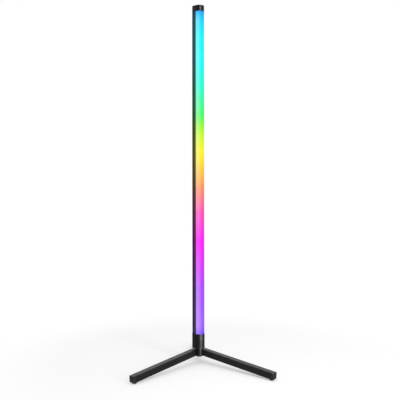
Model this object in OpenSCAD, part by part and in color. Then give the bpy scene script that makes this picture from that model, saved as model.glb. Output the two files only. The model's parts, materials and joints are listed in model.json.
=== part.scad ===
// Corner floor lamp: a slim light pole that swivels on a three-legged base.
// The origin is the middle of the footprint on the floor, +Z is up and the two
// front legs open towards -Y. Millimetres and degrees.
// In the pole's own frame +X is the way the light faces and Z is the swivel axis.

/* [Overall] */
// Height from the floor to the top of the cap
total_h = 1400; // [1100:10:1700]
// Turn of the light from the middle of the two front legs
pole_turn = 45; // [0:1:60]

/* [Pole section] */
// Width of the pole across its flat sides
pole_w = 39; // [37:0.5:40]
// Depth of the metal back, from its rear face to the seam
metal_depth = 25.5; // [25:0.5:27]
// Depth of the diffuser, from the seam to its round front
diffuser_depth = 20.5; // [20:0.5:23]
// Distance from the rear face to the swivel axis
axis_from_rear = 26; // [26:0.5:27]
// Outer radius of the two rear corners
rear_corner_r = 13; // [12:0.5:13]
// Wall of the metal back
metal_wall = 1.8; // [1.6:0.1:2]
// Wall of the diffuser
diffuser_wall = 1.6; // [1.2:0.1:2]
// Number of metal lengths that make up the pole
section_count = 3; // [3:1:3]

/* [Ends of the pole] */
// Height of the top cap
cap_h = 24; // [18:1:30]
// Height of the base sleeve
sleeve_h = 55.5; // [52:0.5:65]
// How far the sleeve stands proud of the pole all round
sleeve_proud = 0.9; // [0.5:0.1:0.9]

/* [Tripod] */
// Angle between the two front legs
front_spread = 90; // [84:2:110]
// Plan distance from where the legs meet to the end of a front leg
front_leg = 360; // [320:2:380]
// Plan distance from where the legs meet to the end of the rear leg
rear_leg = 220; // [200:5:300]
// How far behind the swivel axis the legs meet
root_back = 26; // [25:0.5:27]
// Side of the square leg tube
leg_w = 25; // [24:0.5:25]
// Outer corner radius of the leg tube
leg_corner_r = 2.5; // [2:0.1:3]
// Wall of the leg tube
leg_wall = 1.5; // [1.2:0.1:1.8]
// Slope of the front legs down from where the legs meet
front_slope = 4.5; // [4.4:0.1:4.6]
// Height of the leg centre lines where they meet
hub_z = 44.5; // [44:0.5:45]
// Length of the plastic plug that shows at the end of a leg
plug_head = 10; // [8:0.5:11]
// Distance from the end of a leg to the middle of its foot
foot_inset = 14; // [13:0.5:16]
// Diameter of a foot
foot_d = 16; // [14:0.5:18]

/* [Hub and swivel] */
// Diameter of the round post
post_d = 28; // [27:0.5:29]
// Height of the post's plugged bottom above the floor
post_bottom = 29; // [27:1:30]
// Height of the shoulder that carries the pole
shoulder_z = 60.5; // [60.5:0.5:64]
// Diameter of the swivel pin's bore in its bush
pin_bore_d = 20; // [19:0.5:20]
// Radial running clearance of the swivel pin
pin_clearance = 0.05; // [0.02:0.01:0.1]
// Height of the bush inside the sleeve
bush_h = 39.5; // [36:0.5:42]

/* [Lighting] */
// Spacing of the light-emitting chips along the tape
chip_pitch = 30; // [20:1:40]
// Width of the light tape
tape_w = 10; // [8:0.5:12]

/* [Hidden] */
$fn = 64;

// Colours
satin_black = [0.09, 0.09, 0.095];
plastic_black = [0.12, 0.12, 0.125];
rubber_black = [0.05, 0.05, 0.05];
graphite_metal = [0.24, 0.24, 0.25];
steel = [0.7, 0.71, 0.73];
tape_white = [0.9, 0.89, 0.85];
brass = [0.8, 0.66, 0.3];
board_green = [0.1, 0.4, 0.22];
milky_white = [0.93, 0.9, 0.98];

// Small gap that lets a cut run past the face it opens
past = 1;

// Heights along the pole
bush_flange = 1.5;
sleeve_z = shoulder_z + bush_flange;
pole_z = sleeve_z + sleeve_h;
cap_z = total_h - cap_h;
section_len = (cap_z - pole_z) / section_count;

// Pole section, in the pole's own frame
half_w = pole_w / 2;
rear_x = -axis_from_rear;
seam_x = rear_x + metal_depth;
front_x = seam_x + diffuser_depth;
corner_x = rear_x + rear_corner_r;
corner_y = half_w - rear_corner_r;
nose_x = front_x - half_w;
web_x = seam_x - 9;
web_t = 1.5;
port_x = corner_x;
port_r = 4.2;
port_y = half_w - metal_wall - port_r + 0.4;
port_screw_r = 2;

// Diffuser tongues that clip inside the metal back
tongue_t = 1.4;
tongue_gap = 0.15;
tongue_back = seam_x - 6.5;
tongue_y = half_w - metal_wall - tongue_gap - tongue_t;
bead = 0.6;
bead_len = 1.2;

// Legs
front_half = front_spread / 2;
left_dir = -90 - front_half;
right_dir = -90 + front_half;
rear_dir = 90;
leg_dirs = [left_dir, right_dir, rear_dir];
rear_half = (rear_dir - right_dir) / 2;
end_drop = front_leg * tan(front_slope);

// Plan length, slope and tube length of a leg: all three end at one height
function leg_reach(dir) = dir == rear_dir ? rear_leg : front_leg;
function leg_slope(dir) = atan(end_drop / leg_reach(dir));
function leg_len(dir) = leg_reach(dir) / cos(leg_slope(dir));

// Farthest plan distance that a leg reaches along its own direction
function plan_end(dir) = cos(leg_slope(dir)) * (leg_len(dir) - plug_edge_r)
    + sin(leg_slope(dir)) * (leg_w / 2 - plug_edge_r) + plug_edge_r;

leg_inner = leg_w - 2 * leg_wall;
leg_inner_r = leg_corner_r - leg_wall;
leg_start = leg_w / 2 / tan(rear_half) + 0.65;
mitre_gap = 0.05;
spigot_w = leg_inner - 0.2;
spigot_len = 50;
spigot_start = spigot_w / 2 + 0.1;
neck_w = spigot_w - 3;
leg_screw_x = 34;
leg_screw_r = 2;
leg_screw_head_r = 4;
leg_screw_len = 10;
plug_edge_r = 3;
plug_spigot = 18;

// Feet
foot_edge_r = 1.5;
foot_recess_r = 4.3;
foot_recess = 3;
foot_screw_r = 2;
foot_screw_head_r = 3.8;
foot_screw_head = 2.2;
foot_screw_len = 12;

// The origin is the middle of the footprint, so the swivel axis sits off it by
// half the difference between the reach in front of it and behind it.
rear_end = plan_end(rear_dir) + root_back;
front_end = plan_end(left_dir) * cos(front_half)
    + (leg_w / 2 - plug_edge_r) * sin(front_half) + plug_edge_r * (1 - cos(front_half)) - root_back;
axis_y = (front_end - rear_end) / 2;

// Hub, pin and bush
post_r = post_d / 2;
post_plug_h = 4;
post_plug_edge_r = 2;
core_r = 7;
core_top = 50;
bore_r = pin_bore_d / 2;
pin_r = bore_r - pin_clearance;
bush_r = bore_r + 1.5;
bush_top = sleeve_z + bush_h;
wave_h = 1.6;
pin_top = bush_top + wave_h + 0.05;
socket_r = bush_r + 0.7;
retainer_h = 2;
retainer_r = socket_r - 0.4;
retainer_bolt_r = 3;
retainer_bolt_len = 14;

// Power inlet in the rear of the sleeve
jack_z = sleeve_z + 27;
jack_seat_x = rear_x + 1.5;
jack_flange_r = 6;
jack_flange = 1.3;
jack_barrel_r = 4;
jack_back_x = rear_x + 10.5;
jack_hole_r = 3.1;
jack_hole_depth = 9.5;
jack_pin_r = 1;
jack_wall_x = rear_x + 5;
jack_nut_flats = 11;
jack_nut_h = 2.4;
chamber_half_w = 6;
chamber_x = -bush_r - 2;
chamber_z = jack_z - 9;

// Control board behind the light tape
board_z = pole_z + 6;
board_len = 64;
board_w = 17;
board_t = 1.2;
pad_t = 1;
board_x = web_x - pad_t;
lead_r = 0.8;
slot_w = 9;
slot_h = 5;
slot_z = board_z + 2;

// Light tape
tape_z = pole_z + 4;
tape_top = cap_z - 4;
tape_t = 0.5;
tape_x = web_x + web_t;
chip = 5;
chip_h = 1.6;
chip_count = floor((tape_top - tape_z - chip) / chip_pitch) + 1;

// Joiners between the metal lengths
joiner_len = 80;
joiner_w = 10;
joiner_t = 8;
joiner_x = rear_x + metal_wall + 0.3;
joiner_screw_r = 1.5;
joiner_screw_head_r = 2.75;
joiner_screw_len = 8;
joiner_screw_steps = [14, 32];

// Screws into the ports of the metal back
port_bite = 14;
cap_screw_len = cap_h + port_bite;
port_head_r = 4;
sleeve_screw_head = 3;
sleeve_screw_recess = 30;

// ---------- frames and outlines ----------

module at_axis() {
    translate([0, axis_y, 0]) children();
}

module pole_frame() {
    at_axis() rotate([0, 0, pole_turn - 90]) children();
}

module at_root() {
    translate([0, axis_y + root_back, 0]) children();
}

// +X runs outward along the leg's centre line, from where the legs meet
module leg_frame(dir) {
    at_root() translate([0, 0, hub_z]) rotate([0, 0, dir]) rotate([0, leg_slope(dir), 0])
        children();
}

module foot_frame(dir) {
    at_root() rotate([0, 0, dir]) translate([leg_reach(dir) - foot_inset, 0, 0]) children();
}

module rounded_square(side, r) {
    flat = side - 2 * r;
    square([side, flat], center = true);
    square([flat, side], center = true);
    for (x = [-1, 1], y = [-1, 1])
        translate([x * flat / 2, y * flat / 2]) circle(r);
}

module along_x() {
    rotate([90, 0, 90]) children();
}

// Outline of the metal back, moved inwards by inset
module metal_outline(inset = 0) {
    side = 2 * (half_w - inset);
    translate([corner_x, -side / 2]) square([seam_x - corner_x, side]);
    translate([rear_x + inset, -corner_y]) square([rear_corner_r - inset, 2 * corner_y]);
    for (s = [-1, 1]) translate([corner_x, s * corner_y]) circle(rear_corner_r - inset);
}

// Outline of the diffuser, moved inwards by inset
module diffuser_outline(inset = 0) {
    side = 2 * (half_w - inset);
    translate([seam_x, -side / 2]) square([nose_x - seam_x, side]);
    intersection() {
        translate([nose_x, 0]) circle(half_w - inset);
        translate([seam_x, -pole_w]) square(2 * pole_w);
    }
}

module pole_outline(inset = 0) {
    metal_outline(inset);
    diffuser_outline(inset);
}

module at_ports() {
    for (s = [-1, 1]) translate([port_x, s * port_y]) children();
}

module ring(r_out, r_in, h) {
    difference() {
        cylinder(r = r_out, h = h);
        translate([0, 0, -past]) cylinder(r = r_in, h = h + 2 * past);
    }
}

// Countersunk screw with its flat face at z = 0, pointing down -Z
module countersunk_screw(r, head_r, len, key) {
    head = head_r - r;
    difference() {
        union() {
            translate([0, 0, -len]) cylinder(r = r, h = len);
            translate([0, 0, -head]) cylinder(r1 = r, r2 = head_r, h = head);
        }
        translate([0, 0, -head * 0.7]) cylinder(r = key, h = head, $fn = 6);
    }
}

// Hole for the screw above, with its countersink opening at z = 0
module countersunk_hole(r, head_r, len) {
    head = head_r - r;
    translate([0, 0, -len]) cylinder(r = r, h = len + past);
    translate([0, 0, -head]) cylinder(r1 = r, r2 = head_r, h = head);
    cylinder(r = head_r, h = past);
}

// Pan-headed screw with its seat at z = 0 and its shank up +Z
module pan_screw(r, head_r, head, len, key) {
    difference() {
        union() {
            cylinder(r = r, h = len);
            translate([0, 0, -head]) cylinder(r = head_r, h = head);
        }
        translate([0, 0, -head - past]) cylinder(r = key, h = head * 0.6 + past, $fn = 6);
    }
}

// Ten-sided wire through a short list of points, its runs lapped at each bend
module wire(points, r) {
    for (i = [1 : len(points) - 1]) {
        step = points[i] - points[i - 1];
        plan = norm([step[0], step[1]]);
        lap = i < len(points) - 1 ? r / 2 : 0;
        translate(points[i - 1])
            rotate([0, atan2(plan, step[2]), atan2(step[1], step[0])])
                cylinder(r = r, h = norm(step) + lap, $fn = 10);
    }
}

// ---------- tripod ----------

module hub() {
    color(satin_black) difference() {
        union() {
            at_axis() translate([0, 0, post_bottom + post_plug_h])
                cylinder(r = post_r, h = shoulder_z - post_bottom - post_plug_h);
            at_axis() translate([0, 0, shoulder_z - past])
                cylinder(r = pin_r, h = pin_top - shoulder_z + past);
            for (dir = leg_dirs) leg_frame(dir) hub_spigot();
        }
        at_axis() translate([0, 0, post_bottom]) {
            cylinder(r = core_r, h = core_top - post_bottom);
            cylinder(r = post_r + 0.2, h = post_plug_h);
        }
        at_axis() translate([0, 0, pin_top - retainer_bolt_len])
            cylinder(r = retainer_bolt_r, h = retainer_bolt_len + past);
        for (dir = leg_dirs) leg_frame(dir) leg_screw_hole(leg_screw_r);
    }
}

// Block inside a leg, on a slimmer neck where the three meet
module hub_spigot() {
    along_x() {
        linear_extrude(spigot_start + past) square(neck_w, center = true);
        translate([0, 0, spigot_start]) linear_extrude(spigot_len - spigot_start)
            rounded_square(spigot_w, leg_inner_r);
    }
}

module leg_screw_hole(r) {
    translate([leg_screw_x, 0, -leg_w / 2]) rotate([180, 0, 0])
        countersunk_hole(r, leg_screw_head_r, leg_screw_len);
}

module hub_plug() {
    edge_z = post_plug_edge_r;
    color(plastic_black) at_axis() translate([0, 0, post_bottom]) {
        rotate_extrude() {
            square([post_r - edge_z, post_plug_h]);
            translate([0, edge_z]) square([post_r, post_plug_h - edge_z]);
            intersection() {
                translate([post_r - edge_z, edge_z]) circle(edge_z);
                square(post_r);
            }
        }
        translate([0, 0, post_plug_h]) cylinder(r = core_r, h = 8);
    }
}

module leg(dir) {
    color(satin_black) difference() {
        leg_frame(dir) difference() {
            along_x() translate([0, 0, leg_start])
                linear_extrude(leg_len(dir) - plug_head - leg_start) difference() {
                    rounded_square(leg_w, leg_corner_r);
                    rounded_square(leg_inner, leg_inner_r);
                }
            leg_screw_hole(leg_screw_r + 0.2);
        }
        at_axis() cylinder(r = post_r + 0.1, h = shoulder_z);
        foot_frame(dir) cylinder(r = foot_screw_r + 0.2, h = hub_z / 3);
        beside_leg(dir);
    }
}

// Room beyond the planes midway between a leg and its neighbours
module beside_leg(dir) {
    halves = dir == left_dir ? [-rear_half, front_half]
        : dir == right_dir ? [-front_half, rear_half]
        : [-rear_half, rear_half];
    at_root() for (half = halves) let (s = sign(half)) rotate([0, 0, dir + half])
        translate([0, s * (leg_w / 2 - mitre_gap), shoulder_z / 2])
            cube([2 * leg_w, leg_w, shoulder_z], center = true);
}

// End plug: a head flush with the tube, rounded at its outer edges, and a block
// inside the tube that the foot's screw bites into
module leg_plug(dir) {
    head_x = leg_len(dir) - plug_head;
    color(plastic_black) difference() {
        leg_frame(dir) {
            intersection() {
                along_x() translate([0, 0, head_x])
                    linear_extrude(plug_head) rounded_square(leg_w, leg_corner_r);
                translate([head_x, 0, -leg_w]) linear_extrude(2 * leg_w) plug_head_side();
                translate([head_x, leg_w, 0]) rotate([90, 0, 0])
                    linear_extrude(2 * leg_w) plug_head_side();
            }
            along_x() translate([0, 0, head_x - plug_spigot])
                linear_extrude(plug_spigot + past) rounded_square(spigot_w, leg_inner_r);
        }
        foot_frame(dir) cylinder(r = foot_screw_r, h = foot_recess + foot_screw_len);
    }
}

// The head seen from the side: square at the tube, rounded at the free end
module plug_head_side() {
    flat = leg_w - 2 * plug_edge_r;
    translate([-past, -leg_w / 2]) square([plug_head - plug_edge_r + past, leg_w]);
    translate([0, -flat / 2]) square([plug_head, flat]);
    for (s = [-1, 1]) translate([plug_head - plug_edge_r, s * flat / 2]) circle(plug_edge_r);
}

// Rubber foot: flat on the floor, its top cut to the slope of the leg
module foot(dir) {
    r = foot_d / 2;
    color(rubber_black) difference() {
        foot_frame(dir) rotate_extrude() {
            translate([foot_recess_r, 0]) square([r - foot_edge_r - foot_recess_r, foot_recess]);
            translate([foot_recess_r, foot_edge_r])
                square([r - foot_recess_r, foot_recess - foot_edge_r]);
            translate([r - foot_edge_r, foot_edge_r]) circle(foot_edge_r);
            translate([foot_screw_r + 0.2, foot_recess])
                square([r - foot_screw_r - 0.2, leg_w / 2]);
        }
        leg_frame(dir) translate([leg_len(dir) / 2, -leg_w, -leg_w / 2])
            cube([leg_len(dir), 2 * leg_w, 2 * leg_w]);
    }
}

module leg_screws() {
    color(steel) for (dir = leg_dirs)
        leg_frame(dir) translate([leg_screw_x, 0, -leg_w / 2]) rotate([180, 0, 0])
            countersunk_screw(leg_screw_r, leg_screw_head_r, leg_screw_len, 1.3);
}

module foot_screws() {
    color(steel) for (dir = leg_dirs) foot_frame(dir) translate([0, 0, foot_recess])
        pan_screw(foot_screw_r, foot_screw_head_r, foot_screw_head, foot_screw_len, 1.3);
}

// ---------- swivel ----------

module swivel_bush() {
    color(plastic_black) pole_frame() {
        translate([0, 0, shoulder_z]) ring(post_r, bore_r, bush_flange);
        translate([0, 0, sleeve_z - 0.5]) ring(bush_r, bore_r, bush_h + 0.5);
    }
}

module wave_washer() {
    color(steel) pole_frame() translate([0, 0, bush_top])
        ring(retainer_r, bore_r + 0.2, wave_h);
}

module retaining_washer() {
    color(steel) at_axis() translate([0, 0, pin_top])
        ring(retainer_r, retainer_bolt_r + 0.2, retainer_h);
}

module retaining_screw() {
    color(steel) at_axis() translate([0, 0, pin_top + retainer_h]) rotate([180, 0, 0])
        pan_screw(retainer_bolt_r, 5.2, 3.2, retainer_bolt_len, 2);
}

// Sleeve under the pole: bored for the bush, with a socket above it for the
// retainer, a chamber for the power inlet and two counterbored screw holes
module base_sleeve() {
    color(satin_black) pole_frame() difference() {
        translate([0, 0, sleeve_z]) linear_extrude(sleeve_h) pole_outline(-sleeve_proud);
        translate([0, 0, sleeve_z - past]) cylinder(r = bush_r, h = sleeve_h + 2 * past);
        translate([0, 0, bush_top]) cylinder(r = socket_r, h = sleeve_h);
        translate([jack_wall_x, -chamber_half_w, chamber_z])
            cube([chamber_x - jack_wall_x, 2 * chamber_half_w, sleeve_h]);
        translate([0, 0, jack_z]) along_x() {
            translate([0, 0, rear_x]) cylinder(r = jack_barrel_r, h = 10);
            translate([0, 0, rear_x - past])
                cylinder(r = jack_flange_r + 0.3, h = jack_seat_x - rear_x + past);
        }
        at_ports() {
            translate([0, 0, sleeve_z - past])
                cylinder(r = port_screw_r + 0.2, h = sleeve_h + 2 * past);
            translate([0, 0, sleeve_z - past])
                cylinder(r = port_head_r, h = sleeve_screw_recess + past);
        }
    }
}

module sleeve_screws() {
    color(steel) pole_frame() translate([0, 0, sleeve_z + sleeve_screw_recess])
        at_ports() pan_screw(port_screw_r, port_head_r - 0.3, sleeve_screw_head,
            sleeve_h - sleeve_screw_recess + port_bite, 1.5);
}

// ---------- power inlet and electronics ----------

module dc_jack() {
    color(plastic_black) pole_frame() translate([0, 0, jack_z]) difference() {
        along_x() {
            translate([0, 0, jack_seat_x - jack_flange])
                cylinder(r = jack_flange_r, h = jack_flange);
            translate([0, 0, jack_seat_x - 0.1])
                cylinder(r = jack_barrel_r, h = jack_back_x - jack_seat_x + 0.1);
        }
        along_x() translate([0, 0, jack_seat_x - jack_flange - past])
            cylinder(r = jack_hole_r, h = jack_hole_depth + past);
    }
}

module jack_pin() {
    color(brass) pole_frame() translate([0, 0, jack_z]) along_x()
        translate([0, 0, jack_seat_x - jack_flange + 1])
            cylinder(r = jack_pin_r, h = jack_hole_depth - 1);
}

module jack_nut() {
    color(steel) pole_frame() translate([0, 0, jack_z]) along_x()
        translate([0, 0, jack_wall_x]) difference() {
            rotate([0, 0, 30]) cylinder(r = jack_nut_flats / 2 / cos(30), h = jack_nut_h, $fn = 6);
            translate([0, 0, -past]) cylinder(r = jack_barrel_r, h = jack_nut_h + 2 * past);
        }
}

// Two leads from the back of the inlet up to the foot of the board
module power_leads() {
    lead_y = 2;
    rise_x = jack_back_x + lead_r;
    board_face = board_x - board_t - lead_r;
    color(rubber_black) pole_frame() for (s = [-1, 1])
        wire([
            [rise_x, s * lead_y, jack_z],
            [rise_x, s * lead_y, pole_z],
            [board_face, s * lead_y, board_z + 9]
        ], lead_r);
}

module control_board() {
    chips = [[-4, 20, 8, 8], [-4, 36, 8, 10], [1, 52, 5, 6]];
    color(board_green) pole_frame() translate([board_x - board_t, 0, board_z]) {
        translate([0, -board_w / 2, 0]) cube([board_t, board_w, board_len]);
        for (c = chips) translate([-1.4, c[0], c[1]]) cube([1.5, c[2], c[3]]);
    }
}

module board_pad() {
    color(rubber_black) pole_frame()
        translate([board_x, -board_w / 2 + 1, slot_z + slot_h + 3])
            cube([pad_t, board_w - 2, board_len - slot_h - 8]);
}

// Three short leads through the web to the start of the tape
module tape_leads() {
    lead_z = slot_z + slot_h / 2;
    color(brass) pole_frame() for (y = [-2.5, 0, 2.5])
        translate([board_x, y, lead_z]) along_x() cylinder(r = 0.5, h = tape_x - board_x);
}

module light_tape() {
    color(tape_white) pole_frame() translate([tape_x, -tape_w / 2, tape_z])
        cube([tape_t, tape_w, tape_top - tape_z]);
}

module light_chips() {
    color(milky_white) pole_frame() for (i = [0 : chip_count - 1])
        translate([tape_x + tape_t, -chip / 2, tape_z + i * chip_pitch]) cube([chip_h, chip, chip]);
}

// ---------- pole ----------

// Cross-section of the metal back: shell, web for the tape, two screw ports and
// a groove each side for the diffuser's beads
module metal_section() {
    inner_y = half_w - metal_wall;
    difference() {
        union() {
            difference() {
                metal_outline();
                metal_outline(metal_wall);
                translate([seam_x - past, -inner_y]) square([2 * past, 2 * inner_y]);
            }
            translate([web_x, -inner_y - 0.5]) square([web_t, 2 * inner_y + 1]);
            intersection() {
                metal_outline(0.5);
                at_ports() circle(port_r);
            }
        }
        at_ports() circle(port_screw_r);
        for (s = [-1, 1]) translate([tongue_back + bead_len / 2, s * inner_y])
            square([bead_len + 0.4, 2 * (bead + 0.1)], center = true);
    }
}

// One length of the metal back, with joiner screw holes at its lower or upper end
module pole_length(index, low_joint, high_joint) {
    z0 = pole_z + index * section_len;
    color(graphite_metal) pole_frame() difference() {
        translate([0, 0, z0]) linear_extrude(section_len) metal_section();
        for (step = joiner_screw_steps) {
            if (low_joint) joiner_screw_place(z0 + step)
                countersunk_hole(joiner_screw_r + 0.1, joiner_screw_head_r, 5);
            if (high_joint) joiner_screw_place(z0 + section_len - step)
                countersunk_hole(joiner_screw_r + 0.1, joiner_screw_head_r, 5);
        }
    }
}

module joiner_screw_place(z) {
    translate([rear_x, 0, z]) rotate([0, -90, 0]) children();
}

module pole_lower() {
    difference() {
        pole_length(0, false, true);
        color(graphite_metal) pole_frame()
            translate([web_x - past, -slot_w / 2, slot_z]) cube([web_t + 2 * past, slot_w, slot_h]);
    }
}

module pole_middle() {
    pole_length(1, true, true);
}

module pole_upper() {
    pole_length(2, true, false);
}

// Solid bar that slides into two lengths and takes four screws
module joiner(index) {
    joint_z = pole_z + index * section_len;
    color(steel) pole_frame() difference() {
        translate([joiner_x, -joiner_w / 2, joint_z - joiner_len / 2])
            cube([joiner_t, joiner_w, joiner_len]);
        for (step = joiner_screw_steps, side = [-1, 1])
            joiner_screw_place(joint_z + side * step)
                translate([0, 0, -joiner_screw_len]) cylinder(r = joiner_screw_r, h = joiner_screw_len);
    }
}

module joiner_screws() {
    color(steel) pole_frame() for (index = [1 : section_count - 1])
        for (step = joiner_screw_steps, side = [-1, 1])
            joiner_screw_place(pole_z + index * section_len + side * step)
                countersunk_screw(joiner_screw_r, joiner_screw_head_r, joiner_screw_len, 1);
}

// Milky front: a U that closes the metal back, with a beaded tongue each side
module diffuser() {
    color(milky_white) pole_frame() translate([0, 0, pole_z]) linear_extrude(cap_z - pole_z) {
        difference() {
            diffuser_outline();
            diffuser_outline(diffuser_wall);
            translate([seam_x - past, -half_w + diffuser_wall])
                square([2 * past, pole_w - 2 * diffuser_wall]);
        }
        for (s = [-1, 1]) scale([1, s]) {
            translate([seam_x, tongue_y]) square([diffuser_wall, half_w - tongue_y - 0.5]);
            translate([tongue_back, tongue_y]) square([seam_x + 0.5 - tongue_back, tongue_t]);
            translate([tongue_back, tongue_y]) square([bead_len, tongue_t + bead]);
        }
    }
}

// Hollow cap with a chamfered top edge and two columns for its screws
module top_cap() {
    edge = 1.2;
    wall = 2.2;
    color(satin_black) pole_frame() difference() {
        union() {
            difference() {
                union() {
                    translate([0, 0, cap_z]) linear_extrude(cap_h - edge) pole_outline();
                    hull() {
                        translate([0, 0, total_h - edge - 0.01]) linear_extrude(0.01) pole_outline();
                        translate([0, 0, total_h - 0.01]) linear_extrude(0.01) pole_outline(edge);
                    }
                }
                translate([0, 0, cap_z - past]) linear_extrude(cap_h - wall + past) pole_outline(wall);
            }
            translate([0, 0, cap_z]) at_ports() cylinder(r = port_r, h = cap_h - wall + 0.5);
        }
        translate([0, 0, total_h]) at_ports()
            countersunk_hole(port_screw_r + 0.2, port_head_r, cap_h + past);
    }
}

module cap_screws() {
    color(steel) pole_frame() translate([0, 0, total_h]) at_ports()
        countersunk_screw(port_screw_r, port_head_r, cap_screw_len, 1.3);
}

// ---------- the lamp ----------

hub();
hub_plug();
leg(left_dir);  // leg_left
leg(right_dir);  // leg_right
leg(rear_dir);  // leg_rear
leg_plug(left_dir);  // leg_plug_left
leg_plug(right_dir);  // leg_plug_right
leg_plug(rear_dir);  // leg_plug_rear
foot(left_dir);  // foot_left
foot(right_dir);  // foot_right
foot(rear_dir);  // foot_rear
leg_screws();
foot_screws();
retaining_washer();
retaining_screw();
swivel_bush();
wave_washer();
base_sleeve();
sleeve_screws();
dc_jack();
jack_pin();
jack_nut();
power_leads();
control_board();
board_pad();
tape_leads();
pole_lower();
pole_middle();
pole_upper();
joiner(1);  // joiner_lower
joiner(2);  // joiner_upper
joiner_screws();
light_tape();
light_chips();
diffuser();
top_cap();
cap_screws();
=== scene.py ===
"""Looks for the corner floor lamp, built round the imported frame.

Lengths in the builders are millimetres, as in the CAD source, and become metres
when a mesh is made. Each piece is built in its own frame: the pole's pieces with
+X the way the light faces, a leg's with +X outward along the tube.
"""
import json
import math
from collections import namedtuple

import bmesh
import bpy
from mathutils import Matrix, Vector
from mathutils.geometry import tessellate_polygon


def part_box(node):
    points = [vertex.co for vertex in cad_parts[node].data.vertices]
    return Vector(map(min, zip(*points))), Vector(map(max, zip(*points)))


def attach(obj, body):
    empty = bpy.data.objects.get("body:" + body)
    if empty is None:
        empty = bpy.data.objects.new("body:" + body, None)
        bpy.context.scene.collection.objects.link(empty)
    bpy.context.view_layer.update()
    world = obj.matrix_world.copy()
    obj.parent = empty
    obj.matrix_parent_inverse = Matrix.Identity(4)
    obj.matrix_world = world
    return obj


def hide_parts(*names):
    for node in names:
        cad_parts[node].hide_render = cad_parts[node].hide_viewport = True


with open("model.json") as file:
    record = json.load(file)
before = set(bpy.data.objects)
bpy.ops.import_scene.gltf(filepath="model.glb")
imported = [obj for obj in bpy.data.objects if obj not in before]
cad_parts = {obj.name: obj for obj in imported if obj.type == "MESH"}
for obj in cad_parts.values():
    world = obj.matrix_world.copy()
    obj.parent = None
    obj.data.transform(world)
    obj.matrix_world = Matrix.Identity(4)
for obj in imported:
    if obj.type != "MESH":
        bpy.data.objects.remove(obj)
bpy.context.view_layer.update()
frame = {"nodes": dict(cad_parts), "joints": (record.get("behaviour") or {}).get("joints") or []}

MM = 0.001
scene = bpy.context.scene

# ---------- sizes from the CAD, in mm and degrees ----------

SWIVEL = Vector(frame["joints"][0]["pos_m"]) / MM
AXIS_Y = SWIVEL.y
POLE_TURN = 45.0
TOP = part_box("top_cap")[1].z / MM
CAP_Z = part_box("top_cap")[0].z / MM
SLEEVE_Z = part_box("base_sleeve")[0].z / MM
POLE_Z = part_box("pole_lower")[0].z / MM
JOINTS_Z = [POLE_Z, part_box("pole_middle")[0].z / MM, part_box("pole_upper")[0].z / MM, CAP_Z]
SHOULDER_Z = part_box("swivel_bush")[0].z / MM
POST_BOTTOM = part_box("hub_plug")[0].z / MM
PIN_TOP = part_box("hub")[1].z / MM
BUSH_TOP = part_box("swivel_bush")[1].z / MM

# The pole's section, in the pole's own frame, where the swivel axis is at 0, 0
POLE_W = 39.0
METAL_DEPTH = 25.5
DIFFUSER_DEPTH = 20.5
METAL_WALL = 1.8
DIFFUSER_WALL = 1.6
HALF_W = POLE_W / 2
REAR_X = -26.0
SEAM_X = REAR_X + METAL_DEPTH
NOSE_X = SEAM_X + DIFFUSER_DEPTH - HALF_W
CORNER_R = 13.0
CORNER_X = REAR_X + CORNER_R
CORNER_Y = HALF_W - CORNER_R
WEB_X = SEAM_X - 9.0
WEB_T = 1.5
TONGUE_GAP = 0.15
TONGUE_Y = HALF_W - METAL_WALL - TONGUE_GAP
TONGUE_T = 1.4
BEAD = 0.6
BEAD_FROM = 5.3
BEAD_TO = 6.5
GROOVE_EASE = 0.2
SLEEVE_PROUD = 0.9
CAP_EDGE = 1.2
PORT_Y = 13.9
FRONT_STEPS = 72
CORNER_STEPS = 20
LIP_STEPS = 4

# The tripod: its legs meet ROOT_BACK behind the swivel axis, HUB_Z above the floor
ROOT_BACK = 26.0
HUB_Z = 44.5
FRONT_LEG = 360.0
REAR_LEG = 220.0
FRONT_HALF = 45.0
REAR_HALF = (180.0 - FRONT_HALF) / 2
END_DROP = FRONT_LEG * math.tan(math.radians(4.5))
LEG_W = 25.0
LEG_R = 2.5
LEG_WALL = 1.5
LEG_START = 5.8
PLUG_HEAD = 10.0
PLUG_EDGE = 3.0
PLUG_SPIGOT = 18.0
SPIGOT_W = LEG_W - 2 * LEG_WALL - 0.2
SPIGOT_R = 1.0
SPIGOT_START = SPIGOT_W / 2 + 0.1
SPIGOT_LEN = 50.0
NECK_W = SPIGOT_W - 3.0
NECK_R = 0.5
LEG_SCREW_X = 34.0
FOOT_INSET = 14.0
FOOT_R = 8.0
FOOT_EDGE = 1.5
FOOT_HOLE_R = 2.2
FOOT_RECESS_R = 4.3
FOOT_RECESS = 3.0

# Post, swivel and power inlet
POST_R = 14.0
POST_PLUG = 4.0
POST_PLUG_EDGE = 2.0
CORE_LEN = 12.0
CORE_R = 7.0
BUSH_BORE = 10.0
PIN_R = BUSH_BORE - 0.05
BUSH_R = BUSH_BORE + 1.5
COUNTERBORE_R = 4.0
JACK_Z = SLEEVE_Z + 27.0
JACK_SEAT = 1.5
JACK_SEAT_R = 6.3
JACK_FLANGE = 1.3
JACK_FLANGE_R = 6.0
JACK_BODY_R = 4.0
JACK_HOLE_R = 3.1
JACK_DEPTH = 9.5

Screw = namedtuple("Screw", "r head_r length")
JOINER_SCREW = Screw(1.5, 2.75, 8)
CAP_SCREW = Screw(2, 4, 38)
LEG_SCREW = Screw(2, 4, 10)
FOOT_SCREW = Screw(2, 3.8, 12)
JOINER_STEPS = (14, 32)

# Holes for countersunk screws: the cone runs from neck deep to rim deep
Seat = namedtuple("Seat", "r head_r neck rim steps")
SMALL_SEAT = Seat(1.6, 2.78, 1.25, 0.02, 40)
LARGE_SEAT = Seat(2.2, 4.05, 2.0, 0.1, 48)

Leg = namedtuple("Leg", "name turn reach slope length foot mitres")


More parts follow.
